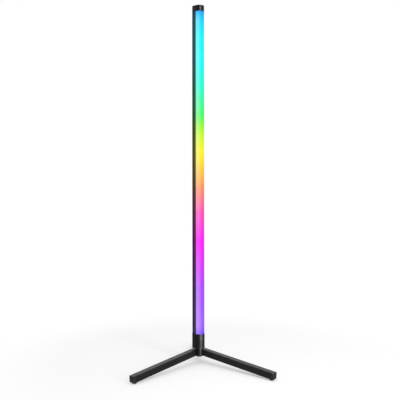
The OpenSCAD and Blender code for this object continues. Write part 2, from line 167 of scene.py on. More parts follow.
def make_leg(name, turn, reach, mitres):
    """A leg by its direction and its plan length from where the legs meet. The
    mitres are the turns from it to the planes midway to its neighbours."""
    slope = math.atan(END_DROP / reach)
    return Leg(name, math.radians(turn), reach, slope, reach / math.cos(slope), reach - FOOT_INSET, mitres)


LEGS = [make_leg("left", -90 - FRONT_HALF, FRONT_LEG, (-REAR_HALF, FRONT_HALF)),
        make_leg("right", -90 + FRONT_HALF, FRONT_LEG, (-FRONT_HALF, REAR_HALF)),
        make_leg("rear", 90, REAR_LEG, (-REAR_HALF, REAR_HALF))]

# Turns in degrees at which a rounded edge is drawn
EDGE_TURNS = (0, 15, 30, 45, 60, 75, 90)
PLUG_TURNS = (0, 12, 24, 36, 48, 60, 72, 84, 90)

# ---------- camera ----------

CAM_TURN = math.radians(4.03)
CAM_DISTANCE = 2.350
CAM_HEIGHT = 0.707
CAM_RIGHT = 0.0031
LENS = 53.95
SENSOR = 36.0
SHIFT_Y = -0.0430
ROLL = math.radians(0.05)


def make_camera():
    data = bpy.data.cameras.new("camera")
    data.lens = LENS
    data.sensor_width = SENSOR
    data.shift_y = SHIFT_Y
    data.clip_end = 50.0
    cam = bpy.data.objects.new("camera", data)
    scene.collection.objects.link(cam)
    right = Vector((math.cos(CAM_TURN), -math.sin(CAM_TURN), 0))
    back = Vector((-math.sin(CAM_TURN), -math.cos(CAM_TURN), 0))
    cam.location = Vector((0, AXIS_Y * MM, CAM_HEIGHT)) + back * CAM_DISTANCE + right * CAM_RIGHT
    cam.rotation_euler = (math.radians(90), ROLL, -CAM_TURN)
    scene.camera = cam


make_camera()

# ---------- node helpers ----------


class Nodes:
    """A thin hand on a node tree, so that a material reads top to bottom."""

    def __init__(self, tree):
        self.tree = tree
        tree.nodes.clear()

    def add(self, kind, **settings):
        n = self.tree.nodes.new(kind)
        for key, value in settings.items():
            setattr(n, key, value)
        return n

    def put(self, value, socket):
        if isinstance(value, bpy.types.NodeSocket):
            self.tree.links.new(value, socket)
        elif value is not None:
            socket.default_value = value

    def math(self, op, a, b):
        n = self.add("ShaderNodeMath", operation=op)
        self.put(a, n.inputs[0])
        self.put(b, n.inputs[1])
        return n.outputs[0]

    def mix(self, factor, a, b, blend="MIX"):
        n = self.add("ShaderNodeMix", data_type="RGBA", blend_type=blend)
        self.put(factor, n.inputs[0])
        self.put(a, n.inputs[6])
        self.put(b, n.inputs[7])
        return n.outputs[2]

    def spread(self, value, lo, hi, to_lo=0.0, to_hi=1.0, smooth=True):
        n = self.add("ShaderNodeMapRange", interpolation_type="SMOOTHSTEP" if smooth else "LINEAR")
        self.put(value, n.inputs[0])
        for i, v in enumerate((lo, hi, to_lo, to_hi)):
            n.inputs[i + 1].default_value = v
        return n.outputs[0]

    def place(self, stretch=(1, 1, 1)):
        """Object coordinates in metres, stretched along the axes."""
        coords = self.add("ShaderNodeTexCoord").outputs["Object"]
        if stretch == (1, 1, 1):
            return coords
        n = self.add("ShaderNodeMapping")
        self.put(coords, n.inputs[0])
        n.inputs[3].default_value = stretch
        return n.outputs[0]

    def noise(self, scale, detail=3.0, rough=0.55, stretch=(1, 1, 1)):
        n = self.add("ShaderNodeTexNoise")
        self.put(self.place(stretch), n.inputs["Vector"])
        n.inputs["Scale"].default_value = scale
        n.inputs["Detail"].default_value = detail
        n.inputs["Roughness"].default_value = rough
        return n.outputs[0]

    def axes(self):
        n = self.add("ShaderNodeSeparateXYZ")
        self.put(self.place(), n.inputs[0])
        return n.outputs

    def bump(self, height, distance, strength=1.0, normal=None):
        n = self.add("ShaderNodeBump")
        n.inputs["Strength"].default_value = strength
        n.inputs["Distance"].default_value = distance
        self.put(height, n.inputs["Height"])
        self.put(normal, n.inputs["Normal"])
        return n.outputs[0]


def grey(v, tint=(1.0, 1.0, 1.0)):
    return (v * tint[0], v * tint[1], v * tint[2], 1.0)


def principled(name, **fixed):
    """A new material, its helper and its shader, with the sockets named in fixed set."""
    m = bpy.data.materials.new(name)
    m.use_nodes = True
    n = Nodes(m.node_tree)
    shader = n.add("ShaderNodeBsdfPrincipled")
    out = n.add("ShaderNodeOutputMaterial")
    m.node_tree.links.new(shader.outputs[0], out.inputs[0])
    for key, value in fixed.items():
        shader.inputs[key.replace("_", " ")].default_value = value
    return m, n, shader


# The lit front from the foot to the top: height in mm, colour of the light and how
# much of the milky white shows through it.
GLOW = [
    (118, (0.25, 0.12, 1.0), 0.4),    # violet
    (150, (0.44, 0.20, 1.0), 0.8),    # lilac
    (290, (0.49, 0.13, 1.0), 0.7),    # purple
    (475, (0.97, 0.03, 0.98), 0.15),  # magenta
    (590, (0.99, 0.14, 0.56), 0.4),   # pink
    (685, (0.99, 0.37, 0.19), 0.7),   # coral
    (785, (0.99, 0.78, 0.06), 1.0),   # amber
    (835, (0.99, 0.95, 0.04), 1.0),   # yellow
    (920, (0.46, 0.97, 0.06), 1.0),   # lime
    (965, (0.13, 0.97, 0.18), 1.0),   # green
    (1080, (0.03, 0.98, 0.69), 1.0),  # mint
    (1165, (0.02, 0.98, 0.95), 1.0),  # cyan
    (1270, (0.01, 0.95, 0.99), 1.0),  # light blue
    (1345, (0.01, 0.72, 0.99), 1.0),  # sky blue
    (1376, (0.0, 0.42, 0.99), 0.3),   # azure
]


def glow_at(n, height):
    """Colour of the light at a height in metres, and its milky white, as a ramp."""
    ramp = n.add("ShaderNodeValToRGB")
    n.put(n.spread(height, POLE_Z * MM, CAP_Z * MM, smooth=False), ramp.inputs[0])
    stops = ramp.color_ramp.elements
    while len(stops) < len(GLOW):
        stops.new(0.5)
    for stop, (z, rgb, white) in zip(stops, GLOW):
        stop.position = (z - POLE_Z) / (CAP_Z - POLE_Z)
        stop.color = (*rgb, white)
    return ramp.outputs[0], ramp.outputs[1]


# ---------- materials ----------


def worn_black(name, low, high, rough, grain, grain_depth, lines=None, rub=0.05):
    """Black coat or plastic: uneven colour and gloss, a fine surface grain, faint
    lengthwise lines if lines gives their stretch, and edges rubbed a little paler."""
    m, n, s = principled(name)
    cloud = n.noise(14.0, 4.0)
    smudge = n.noise(55.0, 5.0, 0.6)
    base = n.mix(n.spread(cloud, 0.35, 0.65), grey(low), grey(high))
    wear = n.add("ShaderNodeAttribute", attribute_name="edge").outputs["Fac"]
    rubbed = n.math("MULTIPLY", wear, n.spread(n.noise(140.0, 4.0, 0.65), 0.48, 0.62))
    n.put(n.mix(rubbed, base, grey(rub)), s.inputs["Base Color"])
    n.put(n.spread(smudge, 0.3, 0.7, rough - 0.05, rough + 0.07), s.inputs["Roughness"])
    height = n.bump(n.noise(grain, 2.0), grain_depth)
    if lines:
        height = n.bump(n.noise(1.0, 2.0, 0.5, lines), 0.000008, 0.6, height)
    n.put(height, s.inputs["Normal"])
    return m


# Painted glow: the metal back beside the lit front gives off a little of the light's colour, as painted
# light spill.
PAINTED_SPILL_GLOW = 0.085
PAINTED_SPILL_FROM = CORNER_X - 8.0
PAINTED_SPILL_TO = CORNER_X + 5.0


def anodised():
    """Black anodised extrusion with die lines, and a painted glow of the light's colour
    on the metal beside the lit front, standing in for light spilling over the edge."""
    m, n, s = principled("black_anodised_metal", Metallic=0.25, IOR=1.5, Emission_Strength=1.0)
    x, _, z = n.axes()
    cloud = n.noise(9.0, 3.0, 0.5, (1, 1, 0.25))
    base = n.mix(n.spread(cloud, 0.3, 0.7), grey(0.01), grey(0.016))
    n.put(base, s.inputs["Base Color"])
    die = n.noise(1.0, 3.0, 0.6, (2600, 2600, 4))
    n.put(n.spread(die, 0.3, 0.7, 0.33, 0.44), s.inputs["Roughness"])
    fine = n.bump(n.noise(5200.0, 1.0), 0.000002, 0.6)
    n.put(n.bump(die, 0.000008, 0.7, fine), s.inputs["Normal"])
    # Painted glow of the light's colour on the metal: full near the lit front, fading out towards the rear.
    painted_spill_glow = n.spread(x, PAINTED_SPILL_FROM * MM, PAINTED_SPILL_TO * MM, 0.0, PAINTED_SPILL_GLOW)
    n.put(n.mix(painted_spill_glow, grey(0.0), glow_at(n, z)[0]), s.inputs["Emission Color"])
    return m


# How the lit front changes from its edges to its nose, by the place in mm along X
MILKY = 0.16
MILKY_FROM = 18.8
MILKY_TO = 8.0
DEEPER_FROM = 14.0
DEEPER_TO = 19.6
EDGE_GAMMA = 0.95
NOSE_GAMMA = 1.3


def lit_front():
    """Milky cover, lit from inside: whiter beside the metal, deeper at its nose and
    at both ends, with the faint mottling of a milky plastic."""
    m, n, s = principled("lit_cover", Roughness=0.5, IOR=1.42, Specular_IOR_Level=0.1,
                         Emission_Strength=1.0)
    x, _, z = n.axes()
    light, white = glow_at(n, z)
    deeper = n.add("ShaderNodeGamma")
    n.put(light, deeper.inputs[0])
    n.put(n.spread(x, DEEPER_FROM * MM, DEEPER_TO * MM, EDGE_GAMMA, NOSE_GAMMA), deeper.inputs[1])
    pale = n.math("MULTIPLY", n.spread(x, MILKY_FROM * MM, MILKY_TO * MM, 0.0, MILKY), white)
    colour = n.mix(pale, deeper.outputs[0], grey(1.0))
    milk = n.spread(n.noise(45.0, 3.0), 0.3, 0.7, 0.96, 1.0)
    n.put(n.mix(1.0, colour, milk, "MULTIPLY"), s.inputs["Emission Color"])
    n.put(n.mix(n.spread(n.noise(30.0), 0.3, 0.7), grey(0.012), grey(0.02)), s.inputs["Base Color"])
    n.put(n.bump(n.noise(700.0, 2.0), 0.000004, 0.5), s.inputs["Normal"])
    return m


def rubber():
    m, n, s = principled("foot_rubber_grain", IOR=1.45)
    dust = n.spread(n.noise(160.0, 5.0, 0.65), 0.45, 0.75)
    n.put(n.mix(dust, grey(0.008), grey(0.026, (1.05, 1.0, 0.94))), s.inputs["Base Color"])
    n.put(n.spread(n.noise(90.0), 0.3, 0.7, 0.68, 0.86), s.inputs["Roughness"])
    n.put(n.bump(n.noise(1500.0, 3.0), 0.00004, 0.8), s.inputs["Normal"])
    return m


def metal(name, low, high, rough, tint=(1.0, 1.0, 1.0)):
    m, n, s = principled(name, Metallic=1.0)
    n.put(n.mix(n.spread(n.noise(60.0, 4.0), 0.3, 0.7), grey(low, tint), grey(high, tint)),
          s.inputs["Base Color"])
    n.put(n.spread(n.noise(220.0, 4.0, 0.65), 0.3, 0.7, rough, rough + 0.14), s.inputs["Roughness"])
    n.put(n.bump(n.noise(1.0, 3.0, 0.6, (900, 900, 5000)), 0.00001, 0.7), s.inputs["Normal"])
    return m


def plain_moulded(name, low, high, rough, grain=900.0):
    m, n, s = principled(name)
    n.put(n.mix(n.spread(n.noise(70.0, 4.0), 0.3, 0.7), low, high), s.inputs["Base Color"])
    n.put(n.spread(n.noise(120.0), 0.3, 0.7, rough, rough + 0.12), s.inputs["Roughness"])
    n.put(n.bump(n.noise(grain, 2.0), 0.00001, 0.6), s.inputs["Normal"])
    return m


def circuit_board():
    """Green board with pale copper tracks under its lacquer."""
    m, n, s = principled("circuit_board", Roughness=0.35)
    tracks = n.add("ShaderNodeTexBrick", offset=0.5)
    n.put(n.place(), tracks.inputs["Vector"])
    for key, value in {"Scale": 260.0, "Mortar Size": 0.012, "Brick Width": 1.4, "Row Height": 0.6}.items():
        tracks.inputs[key].default_value = value
    n.put(n.mix(tracks.outputs["Fac"], (0.01, 0.09, 0.035, 1), (0.05, 0.2, 0.07, 1)), s.inputs["Base Color"])
    n.put(n.bump(n.noise(800.0), 0.00001, 0.5), s.inputs["Normal"])
    return m


def chip_resin():
    m, n, s = principled("chip_resin", Roughness=0.25, Emission_Strength=0.6)
    _, _, z = n.axes()
    n.put(glow_at(n, z)[0], s.inputs["Emission Color"])
    n.put(n.mix(n.noise(400.0), grey(0.7), grey(0.85, (1, 0.98, 0.85))), s.inputs["Base Color"])
    n.put(n.bump(n.noise(900.0), 0.00001, 0.5), s.inputs["Normal"])
    return m


POWDER = worn_black("black_powder_coat", 0.009, 0.013, 0.34, 950.0, 0.000008, (5, 1900, 1900), 0.04)
# The post's coat is a darker copy of the legs' powder coat: painted shade on the post, which stands under
# the sleeve between the legs.
SHADED_POST_COAT = worn_black("black_powder_post_painted_shade", 0.003, 0.005, 0.34, 950.0, 0.000006)
MOULDED = worn_black("black_moulded", 0.003, 0.005, 0.36, 2600.0, 0.000003, None, 0.03)
PLUG_BLACK = worn_black("black_plug", 0.02, 0.028, 0.38, 2200.0, 0.000005, None, 0.07)
SCREW_BLACK = metal("black_oxide", 0.03, 0.05, 0.3)
ZINC = metal("zinc_plate", 0.55, 0.68, 0.22, (1.0, 0.99, 0.96))
BRASS = metal("nickel_plate", 0.6, 0.75, 0.2, (1.0, 0.94, 0.78))
TINNED = metal("tinned_copper", 0.5, 0.7, 0.3, (1.0, 0.94, 0.82))
RUBBER = rubber()
BUSH_BLACK = plain_moulded("black_nylon", grey(0.012), grey(0.02), 0.42)
WIRE_BLACK = plain_moulded("lead_cover", grey(0.015), grey(0.025), 0.45)
FOAM = plain_moulded("grey_foam", grey(0.06), grey(0.1), 0.85, 1600.0)
TAPE_WHITE = plain_moulded("white_flex", grey(0.75), grey(0.85), 0.5)
ANODISED = anodised()
LIT = lit_front()
BOARD = circuit_board()
RESIN = chip_resin()

# ---------- mesh helpers ----------


def pole_matrix():
    return Matrix.Translation((0, AXIS_Y * MM, 0)) @ Matrix.Rotation(math.radians(POLE_TURN - 90), 4, "Z")


def axis_matrix():
    return Matrix.Translation((0, AXIS_Y * MM, 0))


def root_matrix():
    return Matrix.Translation((0, (AXIS_Y + ROOT_BACK) * MM, 0))


def leg_matrix(leg):
    return (root_matrix() @ Matrix.Translation((0, 0, HUB_Z * MM)) @ Matrix.Rotation(leg.turn, 4, "Z")
            @ Matrix.Rotation(leg.slope, 4, "Y"))


def foot_matrix(leg):
    return (root_matrix() @ Matrix.Rotation(leg.turn, 4, "Z")
            @ Matrix.Translation((leg.foot * MM, 0, 0)))


def arc(cx, cy, r, start, end, steps):
    """Points in mm on a circle, from start to end degrees, both included."""
    turn = [math.radians(start + (end - start) * i / steps) for i in range(steps + 1)]
    return [(cx + r * math.cos(a), cy + r * math.sin(a)) for a in turn]


def circle(r, steps):
    return arc(0, 0, r, 0, 360, steps)[:-1]


def level(points, z):
    return [(x, y, z) for x, y in points]


def on_edge(r, turn):
    """A place on an edge rounded to r, after a turn in degrees: how far it is in
    from the side, and how far from the end."""
    t = math.radians(turn)
    return r * (1 - math.cos(t)), r * (1 - math.sin(t))


SHARP_ANGLE = math.radians(32.0)


class Shell:
    """Collects rings and faces of one closed mesh, in mm."""

    def __init__(self):
        self.bm = bmesh.new()
        self.edge = self.bm.verts.layers.float.new("edge")

    def ring(self, points, edge=0.0):
        verts = [self.bm.verts.new(p) for p in points]
        for v in verts:
            v[self.edge] = edge
        return verts

    def bridge(self, a, b):
        for i in range(len(a)):
            j = (i + 1) % len(a)
            self.bm.faces.new((a[i], a[j], b[j], b[i]))

    def loft(self, rings, ends=True):
        for a, b in zip(rings, rings[1:]):
            self.bridge(a, b)
        if ends:
            self.bm.faces.new(list(reversed(rings[0])))
            self.bm.faces.new(rings[-1])

    def close(self, loops, up):
        """Closes an end whose outline has holes: loops are rings, the outline first."""
        verts = [v for loop in loops for v in loop]
        for tri in tessellate_polygon([[v.co for v in loop] for loop in loops]):
            face = self.bm.faces.new([verts[i] for i in tri])
            face.normal_update()
            if face.normal.dot(up) < 0:
                face.normal_flip()

    def lathe(self, profile, steps, edges=()):
        """Turns a closed profile of (radius, z) about Z. A radius of 0 makes a point."""
        rings = []
        for i, (r, z) in enumerate(profile):
            worn = 1.0 if i in edges else 0.0
            if r == 0:
                rings.append(self.ring([(0, 0, z)], worn))
            else:
                rings.append(self.ring(level(circle(r, steps), z), worn))
        closed = profile[0][0] != 0
        pairs = list(zip(rings, rings[1:])) + ([(rings[-1], rings[0])] if closed else [])
        for a, b in pairs:
            if len(a) == 1:
                for i in range(len(b)):
                    self.bm.faces.new((a[0], b[(i + 1) % len(b)], b[i]))
            elif len(b) == 1:
                for i in range(len(a)):
                    self.bm.faces.new((a[i], a[(i + 1) % len(a)], b[0]))
            else:
                self.bridge(a, b)
        return self

    def made(self, name, matrix=None):
        """The finished object, in metres, with its faces turned outward."""
        bmesh.ops.recalc_face_normals(self.bm, faces=self.bm.faces)
        bmesh.ops.scale(self.bm, vec=(MM, MM, MM), verts=self.bm.verts)
        mesh = bpy.data.meshes.new(name)
        self.bm.to_mesh(mesh)
        self.bm.free()
        o = bpy.data.objects.new(name, mesh)
        scene.collection.objects.link(o)
        if matrix is not None:
            o.matrix_world = matrix
        return o


def combine(o, cutters, operation="DIFFERENCE"):
    """Cuts or joins solids into a piece for good, and takes the cutters away."""
    for c in cutters:
        c.matrix_world = o.matrix_world.copy()
        m = o.modifiers.new("cut", "BOOLEAN")
        m.operation, m.solver, m.object = operation, "EXACT", c
    bpy.context.view_layer.update()
    shape = bpy.data.meshes.new_from_object(o.evaluated_get(bpy.context.evaluated_depsgraph_get()))
    o.modifiers.clear()
    o.data = shape
    for c in cutters:
        bpy.data.objects.remove(c)
    return o


def dress(o, body, material, slot, *nodes):
    """Gives a piece its material and shading, and ties it to the frame."""
    o.data.materials.clear()
    o.data.materials.append(material)
    for p in o.data.polygons:
        p.material_index = 0
    o.data.shade_smooth()
    o.data.set_sharp_from_angle(angle=SHARP_ANGLE)
    w = o.modifiers.new("flat_faces", "WEIGHTED_NORMAL")
    w.keep_sharp = True
    w.weight = 60
    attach(o, body)
    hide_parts(*nodes)
    return o


def cylinder_shell(name, r, z0, z1, steps):
    """Closed cutter: a cylinder about Z."""
    s = Shell()
    s.lathe([(0, z0), (r, z0), (r, z1), (0, z1)], steps)
    return s.made(name)


def turned(o, matrix):
    """Bakes a local move, given in metres, into a cutter's mesh."""
    o.data.transform(matrix)
    return o


def shift(x, y, z):
    return Matrix.Translation((x * MM, y * MM, z * MM))


ALONG_X = Matrix(((0, 0, 1, 0), (1, 0, 0, 0), (0, 1, 0, 0), (0, 0, 0, 1)))
DOWN = Matrix.Rotation(math.pi, 4, "X")

# ---------- screws ----------


def hex_socket(r, depth):
    """Hexagonal key hole with a drilled cone at its bottom, opening at z = 0."""
    s = Shell()
    s.lathe([(0, -depth - r * 0.5), (r, -depth), (r, 0.5), (0, 0.5)], 6)
    return s.made("key")


def countersunk(screw):
    """Countersunk screw with its flat face at z = 0, pointing down."""
    r, head_r, length = screw
    head = head_r - r
    rim = 0.25
    s = Shell()
    s.lathe([(0, -length), (r * 0.8, -length), (r, -length + 0.4), (r, -head), (head_r - rim, -rim),
             (head_r, -rim + 0.1), (head_r - 0.05, -0.12), (head_r - 0.2, -0.02), (0, 0)], 48, (5, 6, 7))
    return combine(s.made("screw"), [hex_socket(r * 0.65, head * 0.7)])


def pan(screw, head, key):
    """Button-headed screw with its seat at z = 0, its shank up and its head down."""
    r, head_r, length = screw
    s = Shell()
    s.lathe([(0, -head), (head_r * 0.6, -head), (head_r * 0.85, -head * 0.82),
             (head_r * 0.97, -head * 0.45), (head_r, -head * 0.15), (head_r - 0.1, 0), (r, 0),
             (r, length - 0.4), (r * 0.8, length), (0, length)], 48, (1, 2))
    socket = turned(hex_socket(key, head * 0.6), shift(0, 0, -head) @ DOWN)
    return combine(s.made("screw"), [socket])


def sunk_hole(seat, depth):
    """Cutter for a countersunk screw whose face is at z = 0 and which points down."""
    s = Shell()
    s.lathe([(0, -depth), (seat.r, -depth), (seat.r, -seat.neck), (seat.head_r, -seat.rim),
             (seat.head_r, 1), (0, 1)], seat.steps)
    return s.made("hole")


def gathered(name, parts, matrix=None):
    """Joins built parts, each with a local matrix in metres, into one piece."""
    bm = bmesh.new()
    bm.verts.layers.float.new("edge")
    for o, local in parts:
        o.data.transform(local)
        bm.from_mesh(o.data)
        bpy.data.objects.remove(o)
    mesh = bpy.data.meshes.new(name)
    bm.to_mesh(mesh)
    bm.free()
    o = bpy.data.objects.new(name, mesh)
    scene.collection.objects.link(o)
    if matrix is not None:
        o.matrix_world = matrix
    return o


# ---------- pole section ----------


def rear_corners(r, steps):
    return arc(CORNER_X, CORNER_Y, r, 90, 180, steps) + arc(CORNER_X, -CORNER_Y, r, 180, 270, steps)


def full_section(off=0.0):
    """Outline of the whole pole, off mm proud: the round front, then the rear corners."""
    return arc(NOSE_X, 0, HALF_W + off, -90, 90, FRONT_STEPS) + rear_corners(CORNER_R + off, CORNER_STEPS)


def metal_section(off=0.0):
    """Outline of the metal back, with a small round on its front lips and the
    grooves that hold the cover."""
    lip = 0.35
    outer = (arc(SEAM_X - lip, HALF_W - lip, lip + off, 0, 90, LIP_STEPS)
             + rear_corners(CORNER_R + off, CORNER_STEPS)
             + arc(SEAM_X - lip, -HALF_W + lip, lip + off, -90, 0, LIP_STEPS))
    inner_y = HALF_W - METAL_WALL
    groove_y = inner_y + BEAD + 0.1
    near, far = SEAM_X - BEAD_FROM + GROOVE_EASE, SEAM_X - BEAD_TO - GROOVE_EASE
    groove = [(SEAM_X, inner_y), (near, inner_y), (near, groove_y), (far, groove_y), (far, inner_y),
              (WEB_X + WEB_T, inner_y)]
    return outer + [(x, -y) for x, y in groove] + list(reversed(groove))


def metal_cell():
    """Closed cell behind the web of the metal back."""
    inner_y = HALF_W - METAL_WALL
    return [(WEB_X, inner_y)] + rear_corners(CORNER_R - METAL_WALL, 12) + [(WEB_X, -inner_y)]


def cover_section():
    """Outline of the milky cover: a round front with a beaded tongue on each side."""
    lip, r_in, open_to = 0.3, HALF_W - DIFFUSER_WALL, 87
    shoulder = SEAM_X + DIFFUSER_WALL
    near, far = SEAM_X - BEAD_FROM, SEAM_X - BEAD_TO
    side = [(SEAM_X, TONGUE_Y), (near, TONGUE_Y), (near, TONGUE_Y + BEAD), (far, TONGUE_Y + BEAD),
            (far, TONGUE_Y - TONGUE_T),
            (shoulder, TONGUE_Y - TONGUE_T), (shoulder, r_in * math.sin(math.radians(open_to)))]
    return (arc(SEAM_X + lip, -HALF_W + lip, lip, 180, 270, LIP_STEPS)
            + arc(NOSE_X, 0, HALF_W, -90, 90, FRONT_STEPS)
            + arc(SEAM_X + lip, HALF_W - lip, lip, 90, 180, LIP_STEPS)
            + side + arc(NOSE_X, 0, r_in, open_to, -open_to, 48)
            + [(x, -y) for x, y in reversed(side)])


def metal_length(name, z0, z1, holes):
    """One length of the metal back, its outer edges broken, with countersunk holes
    through its rear wall at the heights in holes."""
    brk = 0.2
    s = Shell()
    outer = [s.ring(level(metal_section(-brk), z0), 1), s.ring(level(metal_section(), z0 + brk), 1),
             s.ring(level(metal_section(), z1 - brk), 1), s.ring(level(metal_section(-brk), z1), 1)]
    cell = [s.ring(level(metal_cell(), z)) for z in (z0, z1)]
    s.loft(outer, ends=False)
    s.loft(cell, ends=False)
    s.close([outer[0], cell[0]], Vector((0, 0, -1)))
    s.close([outer[-1], cell[1]], Vector((0, 0, 1)))
    o = s.made(name, pole_matrix())
    return combine(o, [turned(sunk_hole(SMALL_SEAT, 4), joiner_place(z)) for z in holes])


def joiner_place(z):
    """From a screw's own frame to its place in the pole's rear wall at height z."""
    return shift(REAR_X, 0, z) @ Matrix.Rotation(math.radians(-90), 4, "Y")


def port_place(side, z):
    return shift(CORNER_X, side * PORT_Y, z)


JOINT_HOLES = [[z + side * step for step in JOINER_STEPS for side in (-1, 1)] for z in JOINTS_Z[1:3]]


def build_pole():
    for i, part in enumerate(("lower", "middle", "upper")):
        z0, z1 = JOINTS_Z[i], JOINTS_Z[i + 1]
        holes = [z for joint in JOINT_HOLES for z in joint if z0 < z < z1]
        dress(metal_length(f"metal_back_{part}", z0, z1, holes), "pole", ANODISED, "black_anodised",
              f"pole_{part}")
    s = Shell()
    s.loft([s.ring(level(cover_section(), z)) for z in (POLE_Z, CAP_Z)])
    dress(s.made("milky_cover", pole_matrix()), "pole", LIT, "diffuser_glow", "diffuser")
    screws = [(countersunk(JOINER_SCREW), joiner_place(z)) for joint in JOINT_HOLES for z in joint]
    dress(gathered("joint_screws", screws, pole_matrix()), "pole", SCREW_BLACK, "black_screw",
          "joiner_screws")


def build_cap():
    """Top cap with a rounded top edge, a broken lower edge and two screws."""
    s = Shell()
    brk = 0.25
    rings = [s.ring(level(full_section(-brk), CAP_Z), 1), s.ring(level(full_section(), CAP_Z + brk), 1),
             s.ring(level(full_section(), CAP_Z + 1)), s.ring(level(full_section(), TOP - CAP_EDGE - 0.8))]
    for turn in EDGE_TURNS:
        inset, below = on_edge(CAP_EDGE, turn)
        rings.append(s.ring(level(full_section(-inset), TOP - below), 1))
    rings.append(s.ring(level(full_section(-CAP_EDGE - 0.8), TOP)))
    s.loft(rings)
    o = s.made("end_cap", pole_matrix())
    holes = [turned(sunk_hole(LARGE_SEAT, 30), port_place(side, TOP)) for side in (-1, 1)]
    dress(combine(o, holes), "pole", MOULDED, "black_plastic", "top_cap")
    screws = [(countersunk(CAP_SCREW), port_place(side, TOP - 0.02)) for side in (-1, 1)]
    dress(gathered("end_cap_screws", screws, pole_matrix()), "pole", SCREW_BLACK, "black_screw",
          "cap_screws")


def build_sleeve():
    """Sleeve under the pole: same section, broken edges, bored from below, with the
    pocket of the power inlet in its rear."""
    s = Shell()
    brk, flat, proud = 0.4, 1.4, SLEEVE_PROUD
    edge = [(0, proud - brk, 1), (brk * 0.3, proud - brk * 0.3, 1), (brk, proud, 1), (flat, proud, 0)]
    spec = ([(SLEEVE_Z + h, off, worn) for h, off, worn in edge]
            + [(POLE_Z - h, off, worn) for h, off, worn in reversed(edge)])
    s.loft([s.ring(level(full_section(off), z), worn) for z, off, worn in spec])
    o = s.made("pole_sleeve", pole_matrix())
    cutters = [cylinder_shell("bore", BUSH_R, SLEEVE_Z - 1, POLE_Z + 1, 64)]
    for side in (-1, 1):
        hole = cylinder_shell("hole", COUNTERBORE_R, SLEEVE_Z - 1, SLEEVE_Z + 30, 40)
        cutters.append(turned(hole, port_place(side, 0)))
    seat = Shell()
    seat.lathe([(0, -1), (JACK_SEAT_R + 0.3, -1), (JACK_SEAT_R, 0.3), (JACK_SEAT_R, JACK_SEAT),
                (JACK_BODY_R, JACK_SEAT), (JACK_BODY_R, 10), (0, 10)], 56)
    cutters.append(turned(seat.made("seat"), shift(REAR_X, 0, JACK_Z) @ ALONG_X))
    dress(combine(o, cutters), "pole", MOULDED, "black_plastic", "base_sleeve")


def build_inlet():
    """Round power inlet: flange, deep socket and its centre pin."""
    s = Shell()
    back = JACK_DEPTH + 0.8
    s.lathe([(0, back), (JACK_BODY_R, back), (JACK_BODY_R, JACK_FLANGE), (JACK_FLANGE_R, JACK_FLANGE),
             (JACK_FLANGE_R, 0.25), (JACK_FLANGE_R - 0.25, 0), (JACK_HOLE_R + 0.4, 0), (JACK_HOLE_R, 0.4),
             (JACK_HOLE_R, JACK_DEPTH), (0, JACK_DEPTH)], 56, (4, 5, 6))
    place = shift(REAR_X + JACK_SEAT - JACK_FLANGE, 0, JACK_Z) @ ALONG_X
    dress(gathered("inlet_body", [(s.made("part"), place)], pole_matrix()), "pole", MOULDED,
          "black_plastic", "dc_jack")
    p = Shell()
    p.lathe([(0, JACK_DEPTH), (1, JACK_DEPTH), (1, 1.5), (0.85, 1.15), (0.5, 1.0), (0, 1.0)], 32)
    dress(gathered("inlet_pin", [(p.made("part"), place)], pole_matrix()), "pole", BRASS,
          "jack_brass", "jack_pin")


def build_bush():
    """Flanged bush that the pole turns on; only the flange's edge shows."""
    s = Shell()
    r0, r1 = BUSH_BORE, BUSH_R
    s.lathe([(r0, SHOULDER_Z + 0.2), (r0 + 0.2, SHOULDER_Z), (POST_R - 0.25, SHOULDER_Z),
             (POST_R, SHOULDER_Z + 0.25), (POST_R, SLEEVE_Z - 0.25), (POST_R - 0.25, SLEEVE_Z - 0.02),
             (r1, SLEEVE_Z - 0.02), (r1, BUSH_TOP - 0.3), (r1 - 0.3, BUSH_TOP), (r0, BUSH_TOP)],
            72, (3, 4))
    dress(s.made("swivel_ring", pole_matrix()), "pole", BUSH_BLACK, "nylon", "swivel_bush")


# ---------- tripod ----------


def rounded_square(half, r, steps=6):
    """Corner points of a rounded square, in the leg's Y and Z."""
    f = half - r
    return (arc(f, f, r, 0, 90, steps) + arc(-f, f, r, 90, 180, steps)
            + arc(-f, -f, r, 180, 270, steps) + arc(f, -f, r, 270, 360, steps))


def tube_ring(s, half, r, x, edge=0.0):
    return s.ring([(x, y, z) for y, z in rounded_square(half, r)], edge)


def mitre_box(leg, turn):
    """Room beyond the plane midway between a leg and its neighbour, in the leg's frame."""
    side = math.copysign(1, turn)
    s = Shell()
    half = LEG_W
    near, far = side * 0.06, side * 2 * LEG_W
    corners = [(-half, near), (2 * half, near), (2 * half, far), (-half, far)]
    s.loft([s.ring(level(corners, z)) for z in (0, 2 * HUB_Z)])
    place = (leg_matrix(leg).inverted() @ root_matrix()
             @ Matrix.Rotation(leg.turn + math.radians(turn), 4, "Z"))
    return turned(s.made("mitre"), place)


